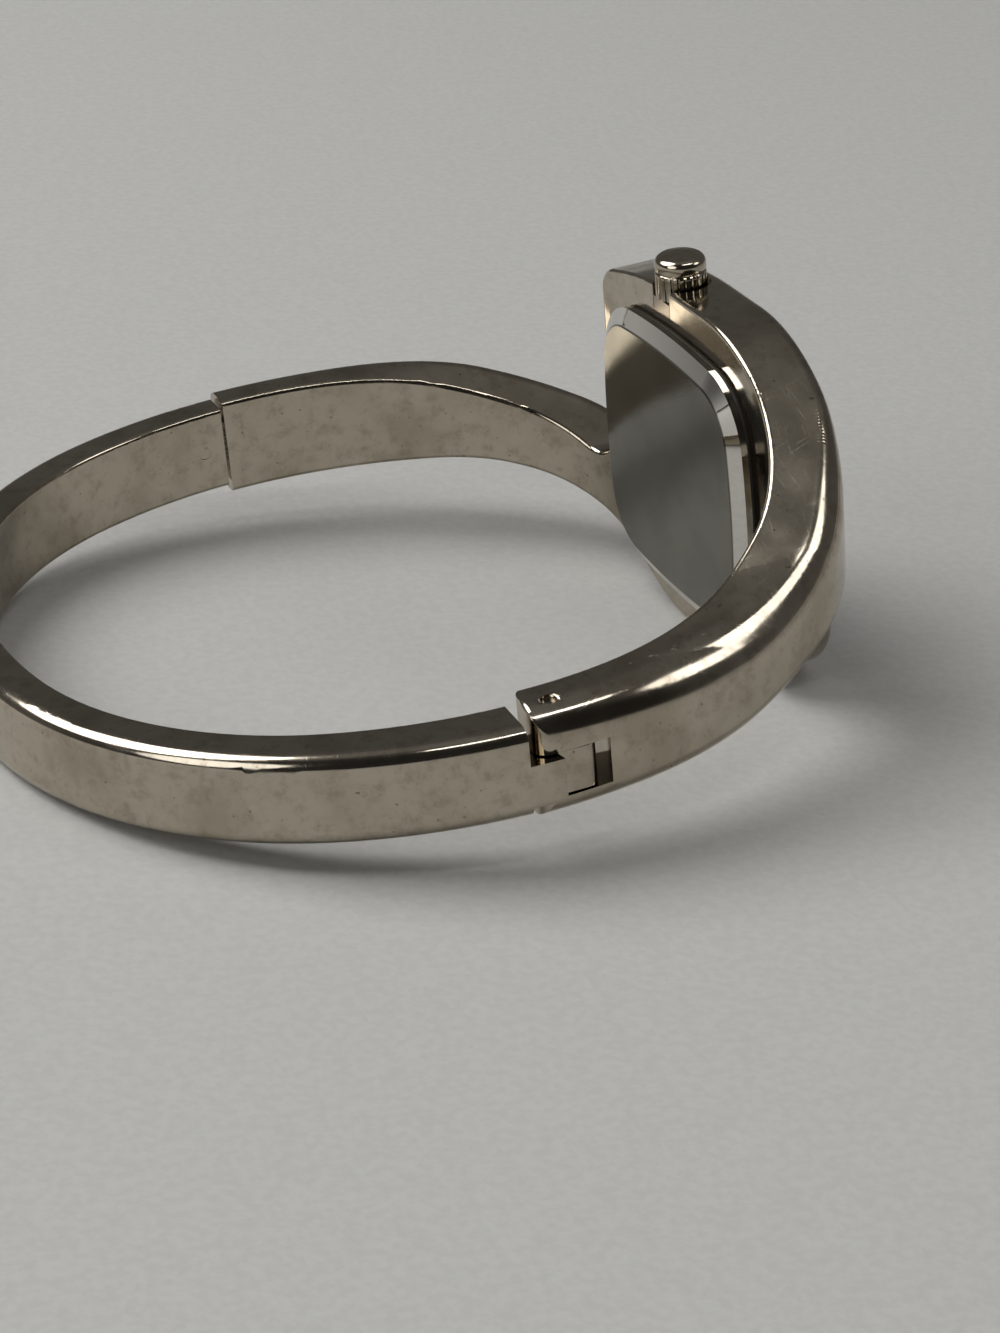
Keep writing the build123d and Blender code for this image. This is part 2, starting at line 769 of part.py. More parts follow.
def hand_outline(x, length, angle):
    """A tapered hand about the centre, with a round boss and a short tail."""
    with BuildSketch(face_plane(x)) as outline:
        Circle(hand_boss_radius)
        with BuildLine(Plane.XY.rotated((0, 0, angle))):
            Polyline(
                (-hand_tail, -hand_half_width),
                (length, -hand_tip_half_width),
                (length, hand_tip_half_width),
                (-hand_tail, hand_half_width),
                close=True,
            )
        make_face()
    return outline.sketch


with BuildPart() as hour_hand:
    extrude(hand_outline(hour_hand_x, hour_hand_length, hour_hand_angle), amount=hand_thickness)
    extrude(disc(hour_hand_x, centre_axis, hour_tube_radius + seat_fit), amount=overrun, mode=Mode.SUBTRACT)
hour_hand.part.label = "hour_hand"

with BuildPart() as minute_hand:
    extrude(hand_outline(minute_hand_x, minute_hand_length, minute_hand_angle), amount=hand_thickness)
    extrude(disc(minute_hand_x, centre_axis, cannon_radius + seat_fit), amount=overrun, mode=Mode.SUBTRACT)
minute_hand.part.label = "minute_hand"

# Movement
with BuildPart() as movement_ring:
    extrude(cushion(lip_end_x + part_gap, lip_inset), amount=dial_x - lip_end_x - part_gap)
    extrude(plate_outline(lip_end_x, part_gap), amount=dial_x - lip_end_x, mode=Mode.SUBTRACT)
    with BuildSketch(crown_level(head_z)):
        Circle(stem_radius + stem_fit * 2)
    extrude(amount=back_half_x, mode=Mode.SUBTRACT)
movement_ring.part.label = "movement_ring"

with BuildPart() as main_plate:
    extrude(plate_outline(plate_x, 0), amount=plate_front_x - plate_x)

    # Dial side: room for the motion work, with the minute wheel's stud standing in it
    for axis, teeth in ((centre_axis, hour_wheel_teeth), (minute_axis, minute_wheel_teeth)):
        recess_radius = tip_radius(teeth, motion_module) + wheel_gap
        extrude(disc(motion_x, axis, recess_radius), amount=motion_recess, mode=Mode.SUBTRACT)
    extrude(disc(motion_x, minute_axis, minute_stud_radius), amount=motion_recess)
    extrude(disc(plate_x, centre_axis, centre_arbor_radius + pivot_fit), amount=overrun, mode=Mode.SUBTRACT)

    # Case back side: seat of the battery, bed of the coil and pivot holes
    battery_bed = disc(plate_x, battery_place, battery_radius + battery_fit)
    extrude(battery_bed, amount=battery_seat, mode=Mode.SUBTRACT)
    coil_bed = block(
        plate_x,
        (coil_start - part_gap, coil_y - coil_radius - part_gap),
        (coil_start + coil_length + part_gap, coil_y + coil_radius + part_gap),
    )
    extrude(coil_bed, amount=coil_radius - stator_thickness + part_gap, mode=Mode.SUBTRACT)
    for axis in (third_axis, intermediate_axis, rotor_axis):
        extrude(disc(plate_x, axis, pivot_radius + pivot_fit), amount=pivot_depth, mode=Mode.SUBTRACT)
    for place in bridge_feet + [clamp_screw, lever_pivot]:
        extrude(disc(plate_x, place, screw_radius + seat_fit), amount=screw_grip, mode=Mode.SUBTRACT)

    # Window of the sliding pinion and bore of the stem
    slider_window = block(
        plate_x,
        (slider_window_start, -slider_window_half - crown_shift),
        (slider_window_start + slider_window_length, slider_window_half - crown_shift),
    )
    extrude(slider_window, amount=plate_front_x - plate_x, mode=Mode.SUBTRACT)
    with BuildSketch(crown_level(head_z + stem_end - part_gap)):
        Circle(stem_radius + stem_fit)
    extrude(amount=plate_half_x, mode=Mode.SUBTRACT)
main_plate.part.label = "main_plate"

with BuildPart() as train_bridge:
    with BuildSketch(face_plane(bridge_x)):
        with Locations(*bridge_feet, centre_axis):
            Circle(foot_radius)
        make_hull()
    extrude(amount=bridge_thickness)
    for foot in bridge_feet:
        extrude(disc(bridge_front_x, foot, foot_radius), amount=plate_x - bridge_front_x)
        extrude(disc(bridge_x, foot, screw_radius + seat_fit), amount=overrun, mode=Mode.SUBTRACT)
    for axis in (centre_axis, third_axis, intermediate_axis, rotor_axis):
        extrude(disc(bridge_x, axis, pivot_radius + pivot_fit), amount=bridge_thickness, mode=Mode.SUBTRACT)
train_bridge.part.label = "train_bridge"


def arbor(axis, radius, end_x):
    """An arbor from its pivot in the bridge to end_x, as sections to extrude: start, radius, length."""
    start_x = bridge_front_x + arbor_end_gap
    return [
        (disc(bridge_x, axis, pivot_radius), bridge_thickness + arbor_end_gap),
        (disc(start_x, axis, radius), end_x - start_x),
    ]


with BuildPart() as centre_wheel:
    extrude(gear(face_plane(centre_x), centre_axis, centre_teeth, train_module, 0), amount=wheel_thickness)
    for section, length in arbor(centre_axis, centre_arbor_radius, cannon_end_x - part_gap):
        extrude(section, amount=length)
centre_wheel.part.label = "centre_wheel"

with BuildPart() as third_wheel:
    extrude(gear(face_plane(third_x), third_axis, third_teeth, train_module, 0), amount=wheel_thickness)
    pinion = gear(face_plane(third_x), third_axis, pinion_teeth, train_module, third_pinion_turn)
    extrude(pinion, amount=wheel_step + wheel_thickness + pinion_margin)
    for section, length in arbor(third_axis, arbor_radius, plate_x - arbor_end_gap):
        extrude(section, amount=length)
    extrude(disc(plate_x - arbor_end_gap, third_axis, pivot_radius), amount=pivot_depth)
third_wheel.part.label = "third_wheel"

with BuildPart() as intermediate_wheel:
    wheel_plane = face_plane(train_x)
    wheel = gear(wheel_plane, intermediate_axis, intermediate_teeth, train_module, 0)
    extrude(wheel, amount=wheel_thickness)
    pinion = gear(wheel_plane, intermediate_axis, pinion_teeth, train_module, intermediate_pinion_turn)
    extrude(pinion, amount=wheel_step + wheel_thickness + pinion_margin)
    for section, length in arbor(intermediate_axis, arbor_radius, plate_x - arbor_end_gap):
        extrude(section, amount=length)
    extrude(disc(plate_x - arbor_end_gap, intermediate_axis, pivot_radius), amount=pivot_depth)
intermediate_wheel.part.label = "intermediate_wheel"

with BuildPart() as rotor:
    pinion_plane = face_plane(train_x - pinion_margin)
    pinion = gear(pinion_plane, rotor_axis, pinion_teeth, train_module, rotor_pinion_turn)
    extrude(pinion, amount=wheel_thickness + pinion_margin * 2)
    magnet_x = plate_x - arbor_end_gap - magnet_thickness
    extrude(disc(magnet_x, rotor_axis, magnet_radius), amount=magnet_thickness)
    for section, length in arbor(rotor_axis, arbor_radius, plate_x - arbor_end_gap):
        extrude(section, amount=length)
    extrude(disc(plate_x - arbor_end_gap, rotor_axis, pivot_radius), amount=pivot_depth)
rotor.part.label = "rotor"

with BuildPart() as cannon_pinion:
    teeth_x = motion_x + part_gap
    extrude(disc(teeth_x, centre_axis, cannon_radius), amount=cannon_end_x - teeth_x)
    teeth_outline = gear(face_plane(teeth_x), centre_axis, cannon_teeth, motion_module, 0)
    extrude(teeth_outline, amount=motion_wheel_thickness)
    extrude(disc(teeth_x, centre_axis, centre_arbor_radius + seat_fit), amount=overrun, mode=Mode.SUBTRACT)
cannon_pinion.part.label = "cannon_pinion"

with BuildPart() as minute_wheel:
    wheel = gear(face_plane(teeth_x), minute_axis, minute_wheel_teeth, motion_module, minute_wheel_turn)
    extrude(wheel, amount=motion_wheel_thickness)
    pinion = gear(face_plane(teeth_x), minute_axis, pinion_teeth, motion_module, 0)
    extrude(pinion, amount=plate_front_x - teeth_x - pinion_margin)
    bore = disc(teeth_x, minute_axis, minute_stud_radius + pivot_fit)
    extrude(bore, amount=overrun, mode=Mode.SUBTRACT)
minute_wheel.part.label = "minute_wheel"

with BuildPart() as hour_wheel:
    hour_x = teeth_x + motion_wheel_thickness + part_gap
    wheel = gear(face_plane(hour_x), centre_axis, hour_wheel_teeth, motion_module, hour_wheel_turn)
    extrude(wheel, amount=motion_wheel_thickness)
    extrude(disc(hour_x, centre_axis, hour_tube_radius), amount=hour_hand_x + hand_thickness - hour_x)
    extrude(disc(hour_x, centre_axis, cannon_radius + hour_bore_fit), amount=overrun, mode=Mode.SUBTRACT)
hour_wheel.part.label = "hour_wheel"

# Motor: a stator plate on a core strip that runs through the coil
with BuildPart() as stator:
    arm_low = coil_y + coil_radius + stator_arm_gap
    arm_high = arm_low + stator_arm_width
    pad_low = coil_y - core_half_width
    bore_radius = magnet_radius + stator_bore_gap
    extrude(disc(stator_x, rotor_axis, bore_radius + stator_ring), amount=stator_thickness)
    right_pad = block(
        stator_x, (rotor_axis[0] - stator_pad_half, pad_low), (rotor_axis[0] + stator_pad_half, rotor_axis[1])
    )
    left_pad = block(stator_x, (core_start, pad_low), (core_start + core_pad, arm_high))
    arm = block(stator_x, (core_start, arm_low), (rotor_axis[0], arm_high))
    for outline in (right_pad, left_pad, arm):
        extrude(outline, amount=stator_thickness)
    extrude(disc(stator_x, rotor_axis, bore_radius), amount=stator_thickness, mode=Mode.SUBTRACT)
stator.part.label = "stator"

with BuildPart() as coil_core:
    strip = block(core_x, (core_start, pad_low), (rotor_axis[0] + stator_pad_half, coil_y + core_half_width))
    extrude(strip, amount=stator_thickness)
coil_core.part.label = "coil_core"

with BuildPart() as coil:
    core_middle_x = core_x + stator_thickness / 2
    with BuildSketch(Plane(origin=head_point(core_middle_x, coil_start, coil_y), z_dir=(0, 0, 1))):
        Circle(coil_radius)
        Rectangle(stator_thickness + seat_fit * 2, (core_half_width + seat_fit) * 2, mode=Mode.SUBTRACT)
    extrude(amount=coil_length)
coil.part.label = "coil"

# Battery, its clamp and the circuit
with BuildPart() as battery:
    extrude(disc(battery_back_x, battery_place, battery_radius), amount=battery_thickness - battery_step)
    cap = disc(battery_front_x - battery_step, battery_place, battery_radius - battery_cap_inset)
    extrude(cap, amount=battery_step)
battery.part.label = "battery"

with BuildPart() as battery_clamp:
    low_y = battery_place[1] - clamp_half_width
    high_y = battery_place[1] + clamp_half_width
    leg_x = clamp_foot_x + clamp_thickness
    extrude(block(clamp_x, (battery_place[0], low_y), (leg_x, high_y)), amount=clamp_thickness)
    extrude(block(clamp_x, (clamp_foot_x, low_y), (leg_x, high_y)), amount=plate_x - clamp_x)
    foot = block(plate_x - clamp_thickness, (clamp_foot_x, low_y), (leg_x + clamp_foot_length, high_y))
    extrude(foot, amount=clamp_thickness)
    hole = disc(plate_x - clamp_thickness, clamp_screw, screw_radius + seat_fit)
    extrude(hole, amount=clamp_thickness, mode=Mode.SUBTRACT)
battery_clamp.part.label = "battery_clamp"

with BuildPart() as circuit_board:
    extrude(block(board_x, board_low, board_high), amount=board_thickness)
circuit_board.part.label = "circuit_board"

with BuildPart() as control_chip:
    with BuildSketch(face_plane(board_x - chip_height)):
        with Locations(chip_place):
            Rectangle(chip_size, chip_size)
    extrude(amount=chip_height)
control_chip.part.label = "control_chip"

with BuildPart() as quartz_can:
    can_x = board_x - quartz_radius
    with BuildSketch(Plane(origin=head_point(can_x, *quartz_place), z_dir=(0, -1, 0))):
        Circle(quartz_radius)
    extrude(amount=quartz_length)
quartz_can.part.label = "quartz_can"

with BuildPart() as movement_screws:
    heads = [(foot, bridge_x) for foot in bridge_feet]
    heads.append((clamp_screw, plate_x - clamp_thickness))
    heads.append((lever_pivot, plate_x - lever_thickness))
    for place, under_head_x in heads:
        extrude(disc(under_head_x, place, screw_radius), amount=plate_x + screw_grip - under_head_x)
        head_x = under_head_x - screw_head_height
        extrude(disc(head_x, place, screw_head_radius), amount=screw_head_height)
        slot = block(
            head_x,
            (place[0] - screw_head_radius, place[1] - screw_slot_width / 2),
            (place[0] + screw_head_radius, place[1] + screw_slot_width / 2),
        )
        extrude(slot, amount=screw_slot_depth, mode=Mode.SUBTRACT)
movement_screws.part.label = "movement_screws"

# Crown, stem and setting work
with BuildPart() as crown:
    crown_axis = Axis((crown_x, crown_y, 0), (0, 0, 1))
    with BuildSketch(Plane(origin=(crown_x, crown_y, 0), x_dir=(1, 0, 0), z_dir=(0, -1, 0))):
        with BuildLine():
            Line((0, crown_base_z), (crown_radius, crown_base_z))
            Line((crown_radius, crown_base_z), (crown_radius, crown_top_z - crown_dome))
            TangentArc((0, crown_top_z), (crown_radius, crown_top_z - crown_dome), tangent=(1, 0))
            Line((0, crown_top_z), (0, crown_base_z))
        make_face()
    revolve(axis=crown_axis)
    with BuildSketch(crown_level(crown_base_z)):
        with PolarLocations(crown_radius, crown_flutes):
            Circle(flute_radius)
    extrude(amount=crown_height - crown_dome - flute_margin, mode=Mode.SUBTRACT)
    with BuildSketch(crown_level(crown_base_z)):
        Circle(tube_radius + seal_wall)
    extrude(amount=crown_bore_depth, mode=Mode.SUBTRACT)
    with BuildSketch(crown_level(crown_base_z)):
        Circle(stem_radius + seat_fit)
    extrude(amount=crown_bore_depth + stem_grip, mode=Mode.SUBTRACT)
crown.part.label = "crown"

with BuildPart() as crown_gasket:
    with BuildSketch(crown_level(crown_base_z + seat_fit)):
        Circle(tube_radius + seal_wall - seat_fit)
        Circle(tube_radius + seat_fit, mode=Mode.SUBTRACT)
    extrude(amount=seal_height)
crown_gasket.part.label = "crown_gasket"

with BuildPart() as crown_tube:
    with BuildSketch(crown_level(tube_start_z)):
        Circle(tube_radius)
        Circle(stem_radius + stem_fit, mode=Mode.SUBTRACT)
    extrude(amount=tube_end_z - tube_start_z)
crown_tube.part.label = "crown_tube"

with BuildPart() as winding_stem:
    with BuildSketch(crown_level(head_z + stem_end)):
        Circle(stem_radius)
    extrude(amount=crown_base_z + crown_bore_depth + stem_grip - head_z - stem_end)
winding_stem.part.label = "winding_stem"

with BuildPart() as sliding_pinion:
    slider_level = crown_level(head_z + slider_start)
    extrude(gear(slider_level, (0, 0), slider_teeth, slider_module, 0), amount=slider_length)
    with BuildSketch(slider_level):
        Circle(stem_radius + seat_fit)
    extrude(amount=slider_length, mode=Mode.SUBTRACT)
sliding_pinion.part.label = "sliding_pinion"

with BuildPart() as setting_lever:
    with BuildSketch(face_plane(plate_x - lever_thickness)):
        with Locations(lever_pivot):
            Circle(lever_pivot_radius)
        with Locations(lever_tip):
            Circle(lever_tip_radius)
        make_hull()
    extrude(amount=lever_thickness)
    hole = disc(plate_x - lever_thickness, lever_pivot, screw_radius + seat_fit)
    extrude(hole, amount=lever_thickness, mode=Mode.SUBTRACT)
setting_lever.part.label = "setting_lever"

pieces = [
    front_case, rear_band, hinge_pin, clasp_tongue, clasp_rivet, clasp_spring,
    case_back, case_back_gasket, crystal, crystal_gasket, dial, hour_markers, hour_hand, minute_hand,
    movement_ring, main_plate, train_bridge, centre_wheel, third_wheel, intermediate_wheel, rotor,
    cannon_pinion, minute_wheel, hour_wheel, stator, coil_core, coil,
    battery, battery_clamp, circuit_board, control_chip, quartz_can, movement_screws,
    crown, crown_gasket, crown_tube, winding_stem, sliding_pinion, setting_lever,
]

# On a table the ring leans on the low edge of its rear half and the low side of its head
head_low_z = flow.part.bounding_box().min.Z
rear_foot = (rear_x - rear_wall + rear_edge_radius, -rear_half_height + rear_edge_radius)
head_foot = (case_rear_x + inner_edge_radius, head_low_z + inner_edge_radius)
foot_span = math.hypot(head_foot[0] - rear_foot[0], head_foot[1] - rear_foot[1])
lean = math.degrees(
    math.atan2(rear_foot[1] - head_foot[1], head_foot[0] - rear_foot[0])
    + math.asin((inner_edge_radius - rear_edge_radius) / foot_span)
)
leant = Location((0, 0, 0), (0, -lean, 0))
leant_box = Compound([piece.part.moved(leant) for piece in pieces]).bounding_box()
standing = Location((-leant_box.center().X, -leant_box.center().Y, -leant_box.min.Z)) * leant

for piece in pieces:
    standing_part = piece.part.moved(standing)
    standing_part.label = piece.part.label
    export_step(standing_part, f"parts/{piece.part.label}.step")
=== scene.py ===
"""The looks of a hinged bangle watch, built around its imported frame.

Metres; +X towards the dial, +Y towards the clasp, +Z up.
"""
import json
import math

import bmesh
import bpy
from mathutils import Matrix, Vector
from mathutils.bvhtree import BVHTree
from mathutils.geometry import barycentric_transform


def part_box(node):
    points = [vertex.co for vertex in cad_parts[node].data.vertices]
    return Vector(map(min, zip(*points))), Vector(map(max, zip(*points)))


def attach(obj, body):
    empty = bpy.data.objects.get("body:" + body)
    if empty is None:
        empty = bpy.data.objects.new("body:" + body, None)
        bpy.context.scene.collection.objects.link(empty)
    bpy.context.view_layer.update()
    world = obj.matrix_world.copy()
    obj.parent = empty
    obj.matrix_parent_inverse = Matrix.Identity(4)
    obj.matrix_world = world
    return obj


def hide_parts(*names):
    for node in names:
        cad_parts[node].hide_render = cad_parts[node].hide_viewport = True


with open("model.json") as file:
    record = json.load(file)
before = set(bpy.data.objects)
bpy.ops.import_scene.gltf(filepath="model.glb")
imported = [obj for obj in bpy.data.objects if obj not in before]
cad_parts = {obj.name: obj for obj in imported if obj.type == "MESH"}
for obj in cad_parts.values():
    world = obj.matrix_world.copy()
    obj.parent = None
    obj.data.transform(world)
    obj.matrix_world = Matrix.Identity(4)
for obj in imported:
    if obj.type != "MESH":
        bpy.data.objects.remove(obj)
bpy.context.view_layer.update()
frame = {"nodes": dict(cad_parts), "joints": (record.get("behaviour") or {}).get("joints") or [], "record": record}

MM = 0.001
IMAGE = (1000, 1333)

joints = {joint["name"]: joint for joint in frame["joints"]}
mounts = {mount["name"]: mount for mount in frame["record"]["mounts"]}

# The ring's own frame: UP is the hinge's axis and OUT runs out through the dial. It leans, head end raised.
UP = Vector(joints["band_hinge"]["axis"])
OUT = Vector(mounts["crystal_face"]["axis"])
RING_TURN = (0, -math.atan2(OUT.z, OUT.x), 0)
HINGE = Vector(joints["band_hinge"]["pos_m"])
SHARP = math.radians(32)  # edges that turn by more than this stay sharp


def ring_point(along, across, up):
    """A vector of the ring's own frame, turned into the row frame."""
    return OUT * along + Vector((0, across, 0)) + UP * up


HINGE_PLACE = (-2.0, -30.0231, 0.0)  # in the ring's own frame, in mm
RING_START = HINGE - ring_point(*[n * MM for n in HINGE_PLACE])


def ring_place(place):
    """A point's place in the ring's own frame, in mm."""
    far = (place - RING_START) / MM
    return Vector((far.dot(OUT), far.y, far.dot(UP)))


def held(value):
    """The value, held between 0 and 1."""
    return max(0.0, min(1.0, value))


def middle(node):
    """The middle of a node's box at rest."""
    low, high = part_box(node)
    return (low + high) / 2


class Look:
    """One material: a principled shader and short calls that feed it.

    Its own frame is the ring's, from `origin`.
    """

    def __init__(self, name, color, metallic=0.0, roughness=0.5, origin=(0, 0, 0), coat=0.0):
        self.material = bpy.data.materials.new(name)
        self.material.use_nodes = True
        self.tree = self.material.node_tree
        self.shader = self.tree.nodes["Principled BSDF"]
        self.shader.inputs["Base Color"].default_value = (*color, 1)
        self.shader.inputs["Metallic"].default_value = metallic
        self.shader.inputs["Roughness"].default_value = roughness
        self.shader.inputs["Coat Weight"].default_value = coat
        turn = self.add("ShaderNodeMapping", vector_type="TEXTURE")
        turn.inputs["Location"].default_value = origin
        turn.inputs["Rotation"].default_value = RING_TURN
        self.link(self.add("ShaderNodeTexCoord").outputs["Object"], turn.inputs["Vector"])
        self.place = turn.outputs["Vector"]
        split = self.add("ShaderNodeSeparateXYZ")
        self.link(self.place, split.inputs[0])
        self.x, self.y, self.z = split.outputs
        self.normal = None

    def add(self, kind, **settings):
        node = self.tree.nodes.new(kind)
        for name, value in settings.items():
            setattr(node, name, value)
        return node

    def link(self, source, target):
        self.tree.links.new(source, target)

    def feed(self, value, socket):
        """A socket links; a number or colour is set."""
        if isinstance(value, bpy.types.NodeSocket):
            self.link(value, socket)
        elif isinstance(value, tuple) and len(value) == 3 and socket.type == "RGBA":
            socket.default_value = (*value, 1)
        else:
            socket.default_value = value

    def math(self, operation, *values):
        node = self.add("ShaderNodeMath", operation=operation)
        for value, socket in zip(values, node.inputs):
            self.feed(value, socket)
        return node.outputs[0]

    def vector(self, operation, *values):
        node = self.add("ShaderNodeVectorMath", operation=operation)
        for value, socket in zip(values, node.inputs):
            self.feed(value, socket)
        return node.outputs["Vector"]

    def joined(self, *values):
        """A vector of up to three numbers."""
        node = self.add("ShaderNodeCombineXYZ")
        for value, socket in zip(values, node.inputs):
            self.feed(value, socket)
        return node.outputs[0]

    def noise(self, size, detail=2.0, turn=(0, 0, 0), source=None, rough=0.5):
        """Noise whose marks are `size` metres across: one number, or one for each axis, after the turn."""
        sizes = size if isinstance(size, tuple) else (size, size, size)
        mapping = self.add("ShaderNodeMapping")
        mapping.inputs["Rotation"].default_value = turn
        self.link(source or self.place, mapping.inputs["Vector"])
        scaled = self.vector("MULTIPLY", mapping.outputs["Vector"], tuple(1 / s for s in sizes))
        texture = self.add("ShaderNodeTexNoise")
        texture.inputs["Scale"].default_value = 1.0
        texture.inputs["Detail"].default_value = detail
        texture.inputs["Roughness"].default_value = rough
        self.link(scaled, texture.inputs["Vector"])
        return texture.outputs["Fac"]

    def span(self, value, low, high, to_low=0.0, to_high=1.0):
        """Takes the range from low to high smoothly to another range."""
        node = self.add("ShaderNodeMapRange", interpolation_type="SMOOTHSTEP")
        for socket, number in zip(node.inputs, (value, low, high, to_low, to_high)):
            self.feed(number, socket)
        return node.outputs[0]

    def mix(self, share, a, b):
        """Between two colours."""
        node = self.add("ShaderNodeMix", data_type="RGBA")
        self.feed(share, node.inputs["Factor"])
        self.feed(a, node.inputs[6])
        self.feed(b, node.inputs[7])
        return node.outputs[2]

    def blend(self, share, a, b):
        """Between two numbers or number sockets."""
        node = self.add("ShaderNodeMix", data_type="FLOAT")
        for socket, value in zip(node.inputs, (share, a, b)):
            self.feed(value, socket)
        return node.outputs[0]

    def bump(self, height, depth):
        """Adds relief of this depth in metres."""
        node = self.add("ShaderNodeBump")
        node.inputs["Strength"].default_value = 1.0
        node.inputs["Distance"].default_value = depth
        self.link(height, node.inputs["Height"])
        if self.normal is not None:
            self.link(self.normal, node.inputs["Normal"])
        self.normal = node.outputs[0]

    def scratches(self, turns, width, length, share):
        """Fine straight marks in several directions, from 0 to 1. A higher share gives fewer."""
        total = None
        for i, turn in enumerate(turns):
            marks = self.noise((width, length, length * 0.7), 1.0, (turn * 0.6 + i, turn, turn * 1.7))
            marks = self.span(marks, share, share + 0.05)
            total = marks if total is None else self.math("MAXIMUM", total, marks)
        return total

    def done(self, color=None, roughness=None):
        """Feeds the shader and gives the material."""
        if color is not None:
            self.feed(color, self.shader.inputs["Base Color"])
        if roughness is not None:
            self.feed(roughness, self.shader.inputs["Roughness"])
        if self.normal is not None:
            self.link(self.normal, self.shader.inputs["Normal"])
        return self.material


def plating(name, tarnish_share=0.55, rough=0.10, silver=(0.50, 0.447, 0.362)):
    """Polished silver-tone plating with faint brown tarnish, hairline scratches and tiny dark specks."""
    look = Look(name, (0.62, 0.59, 0.56), metallic=1.0)
    clouds = look.noise(5.5 * MM, 4.0)
    stains = look.span(look.noise(1.5 * MM, 6.0, rough=0.72), 0.44, 0.74)
    tarnish = look.math("MULTIPLY", look.span(clouds, 0.42, 0.72), tarnish_share)
    color = look.mix(tarnish, silver, (0.30, 0.255, 0.19))
    color = look.mix(look.math("MULTIPLY", stains, 0.60), color, (0.25, 0.20, 0.145))
    specks = look.span(look.noise(0.35 * MM, 0.0), 0.80, 0.86)
    color = look.mix(look.math("MULTIPLY", specks, 0.7), color, (0.16, 0.13, 0.11))
    hairlines = look.scratches((0.3, 1.1, 2.2), 0.05 * MM, 4.0 * MM, 0.70)
    rubbed = look.span(look.noise(3.0 * MM, 2.0), 0.35, 0.75, 0.0, 0.07)
    roughness = look.math("ADD", rubbed, look.math("MULTIPLY", hairlines, 0.08))
    roughness = look.math("ADD", roughness, rough)
    look.bump(hairlines, 0.0003 * MM)
    look.bump(look.noise(2.4 * MM, 2.0), 0.008 * MM)
    return look.done(color, roughness)


def brushed_metal(name, color, node, rough=0.28, mark=0.05 * MM, way="straight"):
    """Metal with fine tool marks, straight or turned about the node's own centre."""
    look = Look(name, color, metallic=1.0, origin=middle(node))
    if way == "turned":
        squares = look.math("ADD", look.math("POWER", look.y, 2.0), look.math("POWER", look.z, 2.0))
        radius = look.math("SQRT", squares)
        marks = look.noise((mark, 1.0, 1.0), 2.0, source=look.joined(radius))
    else:
        marks = look.noise((mark * 30, mark * 40, mark), 2.0)
    patches = look.span(look.noise(2.0 * MM, 3.0), 0.3, 0.7)
    dark = tuple(c * 0.72 for c in color)
    shade = look.mix(look.math("MULTIPLY", patches, 0.5), color, dark)
    roughness = look.span(marks, 0.3, 0.7, rough * 0.75, rough * 1.35)
    look.bump(marks, 0.002 * MM)
    return look.done(shade, roughness)


def moulded(name, color, rough=0.5):
    """Plastic, rubber or ink with a fine grain and uneven wear."""
    grain, depth = 0.12 * MM, 0.004 * MM
    look = Look(name, color, roughness=rough)
    patches = look.span(look.noise(1.5 * MM, 3.0), 0.3, 0.7)
    shade = look.mix(look.math("MULTIPLY", patches, 0.35), color, tuple(c * 0.75 + 0.01 for c in color))
    fine = look.noise(grain, 3.0)
    look.bump(fine, depth)
    return look.done(shade, look.span(fine, 0.3, 0.7, rough * 0.85, min(1.0, rough * 1.15)))


def case_back_look():
    """Satin middle with a fine grain and scratches, its colour made far darker than steel as painted shade for the
    shadowed floor it reflects; the bevel round it is polished.
    """
    back = Vector(mounts["case_back_face"]["pos_m"])
    look = Look("case_back_metal", (0.5, 0.5, 0.47), metallic=1.0, origin=back)
    bevel = look.span(look.x, 0.04 * MM, 0.10 * MM)
    grain = look.noise((1.0 * MM, 2.5 * MM, 0.05 * MM), 3.0, (0.5, 0, 0))
    clouds = look.span(look.noise(4.0 * MM, 4.0), 0.35, 0.7)
    # painted shade: the satin middle's colour stands in for the dark, shadowed floor and arm it reflects, with
    # random cloudy patches in it
    satin_with_painted_shade = look.mix(look.math("MULTIPLY", clouds, 0.6), (0.165, 0.158, 0.133), (0.11, 0.104, 0.084))
    color = look.mix(bevel, satin_with_painted_shade, (0.66, 0.64, 0.60))
    hairlines = look.scratches((0.4, 1.3, 2.5), 0.04 * MM, 3.0 * MM, 0.64)
    grain_rough = look.span(grain, 0.3, 0.7, 0.38, 0.50)
    flat_rough = look.math("ADD", grain_rough, look.math("MULTIPLY", hairlines, 0.12))
    roughness = look.blend(bevel, flat_rough, 0.10)
    relief = look.math("MULTIPLY", grain, look.math("SUBTRACT", 1.0, bevel))
    look.bump(relief, 0.003 * MM)
    return look.done(color, roughness)


def glass():
    """Mineral glass with a trace of rub marks."""
    look = Look("crystal_clear", (0.95, 0.97, 0.97), roughness=0.02)
    look.shader.inputs["Transmission Weight"].default_value = 1.0
    look.shader.inputs["IOR"].default_value = 1.5
    marks = look.scratches((0.2, 1.4), 0.03 * MM, 2.0 * MM, 0.70)
    return look.done(roughness=look.math("ADD", 0.02, look.math("MULTIPLY", marks, 0.08)))


def dial_paint():
    """Lacquered dial with a fine sunburst."""
    centre = Vector(joints["minute_turn"]["pos_m"])
    look = Look("dial_lacquer", (0.82, 0.80, 0.74), metallic=0.35, roughness=0.3, origin=centre, coat=0.6)
    ray_width = 0.02  # as a share of the radius
    way = look.vector("NORMALIZE", look.joined(look.y, look.z))
    rays = look.noise(ray_width, 3.0, source=way)
    color = look.mix(look.span(rays, 0.3, 0.7), (0.86, 0.84, 0.78), (0.72, 0.70, 0.63))
    return look.done(color, look.span(rays, 0.3, 0.7, 0.24, 0.40))


